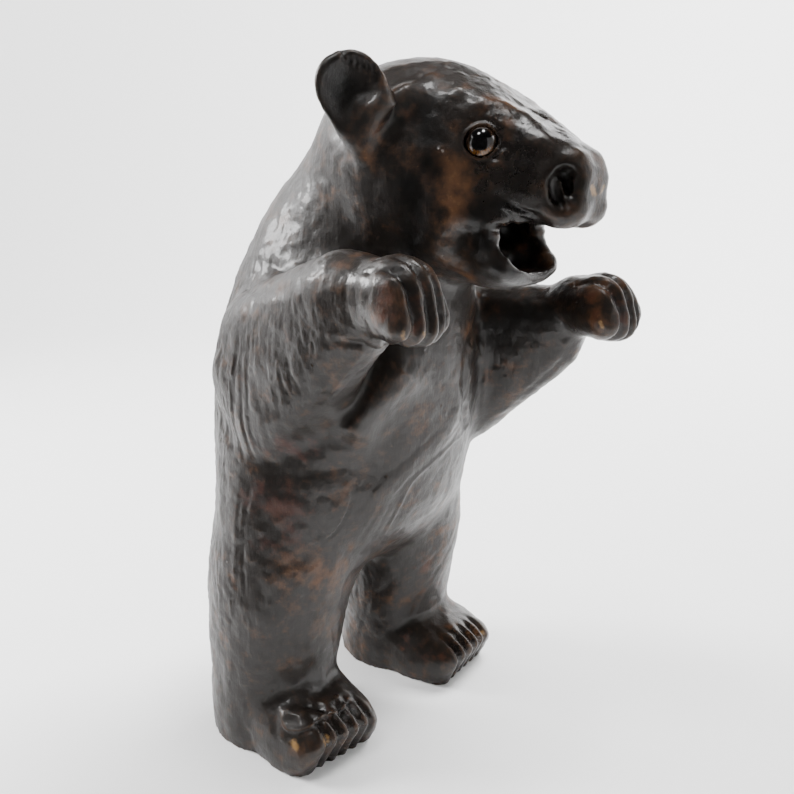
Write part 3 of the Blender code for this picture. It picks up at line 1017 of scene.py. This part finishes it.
def lacquered_leather():
    """Near-black lacquer, mottled and stained brown and worn on its ridges, with painted shade: black
    in its valleys and near-black where shade falls.
    """
    material, tree, shader = new_material("lacquered_leather")
    place = tree.nodes.new("ShaderNodeTexCoord").outputs["Object"]

    def note(name):
        return wire(tree, "ShaderNodeAttribute", attribute_name=name).outputs["Fac"]

    patches = grain(tree, place, PATCH_SIZE, 4.0, 1.0)
    clouds = grain(tree, place, CLOUD_SIZE, 6.0, 2.0)
    flecks = grain(tree, place, FLECK_SIZE, 4.0, 3.0)
    mottled = maths(tree, "MULTIPLY_ADD", clouds, 1.2, maths(tree, "MULTIPLY", patches, 0.8))
    warm_share = span(tree, maths(tree, "MULTIPLY_ADD", note("warm"), 0.38, mottled), 1.0, 1.5)
    red_share = span(tree, maths(tree, "MULTIPLY_ADD", note("red"), 0.24, clouds), 0.6, 0.86)
    tan_share = span(tree, maths(tree, "MULTIPLY_ADD", flecks, 0.6, note("tan")), 0.55, 1.0)
    speckle = span(tree, maths(tree, "MULTIPLY_ADD", warm_share, 0.16, flecks), 0.66, 0.82)
    ridge = span(tree, maths(tree, "MULTIPLY", note("fine_hollow"), -1.0), 0.03, 0.16)
    # painted shade: the broad hollows darkened towards black
    valley = span(tree, note("broad_hollow"), 0.14, 0.5)

    colour = blend(tree, warm_share, LACQUER, WARM_BROWN)
    for share, strength, coat in (
        (red_share, 0.75, RED_BROWN),
        (speckle, 0.5, SPECKLE_BROWN),
        (ridge, 0.35, RIDGE_BROWN),
        (tan_share, 1.0, BARE_TAN),
        (valley, 0.8, PAINTED_VALLEY_SHADE),
        # painted shade: near-black where the painted shade places lie
        (note("dark"), 0.9, PAINTED_SHADE_BLACK),
    ):
        colour = blend(tree, maths(tree, "MULTIPLY", share, strength), colour, coat)
    tree.links.new(colour, shader.inputs["Base Color"])

    rough = maths(tree, "MULTIPLY_ADD", clouds, 0.2, 0.35)
    rough = maths(tree, "MULTIPLY_ADD", note("glossy"), -0.19, rough)
    tree.links.new(rough, shader.inputs["Roughness"])
    shader.inputs["Coat Weight"].default_value = 0.14
    shader.inputs["Coat Roughness"].default_value = 0.12
    shader.inputs["Specular IOR Level"].default_value = 0.32

    pores = grain(tree, place, PORE_SIZE, 3.0, 4.0)
    streaks = grain(tree, place, STREAK_SIZE, 4.0, 5.0, STREAK_STRETCH)
    height = maths(tree, "ADD", streaks, maths(tree, "MULTIPLY_ADD", pores, 0.5, flecks))
    bump = wire(tree, "ShaderNodeBump", {"Height": height, "Strength": 0.35, "Distance": 0.0003})
    tree.links.new(bump.outputs[0], shader.inputs["Normal"])
    return material


def glass_eye():
    """Black and amber glass, with painted light: the amber is painted bright low down, as the glow
    where the light gathers in the dome, and painted shaded above.
    """
    material, tree, shader = new_material("amber_glass")
    off_axis = wire(tree, "ShaderNodeAttribute", attribute_name="off_axis").outputs["Fac"]
    round_axis = wire(tree, "ShaderNodeAttribute", attribute_name="round_axis").outputs["Vector"]
    streaks = wire(
        tree, "ShaderNodeTexNoise", {"Vector": round_axis, "Scale": 9.0, "Detail": 4.0}
    ).outputs[0]
    height = wire(tree, "ShaderNodeSeparateXYZ", {0: round_axis}).outputs[1]
    amber = blend(tree, span(tree, streaks, 0.3, 0.7), AMBER_DEEP, AMBER_BRIGHT)
    # painted light and shade: bright amber low on the eye, AMBER_SHADED above
    amber = blend(tree, span(tree, height, -1.0, -0.15, 1.0, 0.0), AMBER_SHADED, amber)
    colour = blend(tree, span(tree, off_axis, *PUPIL_EDGE), PUPIL_BLACK, amber)
    colour = blend(tree, span(tree, off_axis, *IRIS_EDGE), colour, RIM_BROWN)
    tree.links.new(colour, shader.inputs["Base Color"])
    shader.inputs["Roughness"].default_value = 0.15
    shader.inputs["Specular IOR Level"].default_value = 0.35
    shader.inputs["Coat Weight"].default_value = 0.3
    shader.inputs["Coat Roughness"].default_value = 0.015
    shader.inputs["Coat IOR"].default_value = 1.52
    return material


def build_eye(side, material):
    """A glass eye whose pole is its pupil, with each point's angle from it and turn about it."""
    centre, facing = eye_place(side)
    across = UP.cross(facing).normalized()
    turn = Matrix((across, facing.cross(across), facing)).transposed().to_4x4()
    build = bmesh.new()
    bmesh.ops.create_uvsphere(
        build, u_segments=EYE_MERIDIANS, v_segments=EYE_PARALLELS, radius=EYE_RADIUS * MM
    )
    eye = new_piece("glass_eye_" + ("right" if side < 0 else "left"), build)
    local = skin(eye)[0] / EYE_RADIUS
    noted(eye, "off_axis", np.arccos(np.clip(local[:, 2], -1, 1)))
    field = eye.data.attributes.new("round_axis", "FLOAT_VECTOR", "POINT")
    flat = local.copy()
    flat[:, 2] = 0
    flat /= np.maximum(np.linalg.norm(flat, axis=1), 1e-4)[:, None]
    field.data.foreach_set("vector", flat.astype(np.float32).ravel())
    eye.data.transform(Matrix.Translation(centre) @ turn)
    return finished(eye, material)


def revolved(name, profile, turns, material):
    """A stage piece swept through turns about the middle, from (radius, height) points."""
    build = bmesh.new()
    rings = []
    for radius, rise in profile:
        ring = []
        for turn in turns:
            ring.append(build.verts.new((radius * math.cos(turn), radius * math.sin(turn), rise)))
        rings.append(ring)
    for lower, upper in zip(rings, rings[1:]):
        for i in range(len(turns) - 1):
            build.faces.new((lower[i + 1], lower[i], upper[i], upper[i + 1]))
    bmesh.ops.remove_doubles(build, verts=build.verts, dist=1e-5)
    bmesh.ops.recalc_face_normals(build, faces=build.faces)
    piece = finished(new_piece(name, build), material)
    return piece


def build_flag(toward_camera):
    """A dark card round the camera's side, which shows only as the dark that the lacquer mirrors."""
    material, _, shader = new_material("black_card")
    shader.inputs["Base Color"].default_value = FLAG_BLACK
    shader.inputs["Roughness"].default_value = 1
    shader.inputs["Specular IOR Level"].default_value = 0
    middle_turn = math.atan2(toward_camera.y, toward_camera.x)
    turns = middle_turn + np.radians(np.linspace(*FLAG_TURNS, FLAG_STOPS))
    flag = revolved("black_flag", FLAG_PROFILE, turns, material)
    flag.visible_camera = False
    flag.visible_diffuse = False
    flag.visible_shadow = False
    flag.visible_transmission = False


def build_paper():
    """A pale floor that sweeps up all round."""
    material, _, shader = new_material("pale_paper")
    shader.inputs["Base Color"].default_value = PAPER_WHITE
    shader.inputs["Roughness"].default_value = 0.9
    shader.inputs["Specular IOR Level"].default_value = 0.1
    profile = [(0.0, 0.0), (0.5, 0.0), (FLOOR_REACH, 0.0)]
    for turn in np.linspace(0, math.pi / 2, SWEEP_STOPS)[1:]:
        outward = FLOOR_REACH + SWEEP_RADIUS * math.sin(turn)
        profile.append((outward, SWEEP_RADIUS - SWEEP_RADIUS * math.cos(turn)))
    profile.append((FLOOR_REACH + SWEEP_RADIUS, PAPER_RISE))
    revolved("paper_sweep", profile, np.linspace(0, 2 * math.pi, ROUND_STOPS), material)


def light_studio(right, back):
    """The lights, and a little light from all round."""
    world = bpy.data.worlds.new("studio")
    bpy.context.scene.world = world
    world.use_nodes = True
    world.node_tree.nodes["Background"].inputs[0].default_value = (1, 1, 1, 1)
    world.node_tree.nodes["Background"].inputs[1].default_value = WORLD_LIGHT
    for name, (rightward, backward, upward), behind, size, power in LIGHTS:
        light = bpy.data.lights.new(name, "AREA")
        light.shape = "RECTANGLE"
        light.size, light.size_y = size
        light.energy = power
        lamp = bpy.data.objects.new(name, light)
        lamp.location = STUDIO_MIDDLE + (right * rightward + back * backward + UP * upward)
        target = STUDIO_MIDDLE + back * behind
        lamp.rotation_euler = (lamp.location - target).to_track_quat("Z", "Y").to_euler()
        lamp.visible_glossy = name.endswith("softbox")
        bpy.context.scene.collection.objects.link(lamp)


def place_camera(ahead):
    """The camera, with room near it for a close look."""
    view = bpy.data.cameras.new("camera")
    view.lens = LENS
    view.sensor_width = SENSOR
    view.clip_start = 0.01
    camera = bpy.data.objects.new("camera", view)
    camera.location = Vector(CAMERA_PLACE) * MM
    camera.rotation_euler = (-ahead).to_track_quat("Z", "Y").to_euler()
    bpy.context.scene.collection.objects.link(camera)
    bpy.context.scene.camera = camera


def build_studio():
    """Pale paper, a dark flag about the camera, soft lights and the camera."""
    ahead, across, _ = camera_axes()
    level = Vector((ahead.x, ahead.y, 0)).normalized()
    build_paper()
    build_flag(-level)
    light_studio(across, level)
    place_camera(ahead)


leather_piece = build_leather(lacquered_leather())
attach(leather_piece, "root")
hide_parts("bear_body")
eye_finish = glass_eye()
for eye_side, eye_node in ((-1, "eye_right"), (1, "eye_left")):
    eye_piece = build_eye(eye_side, eye_finish)
    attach(eye_piece, "root")
    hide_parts(eye_node)
build_studio()
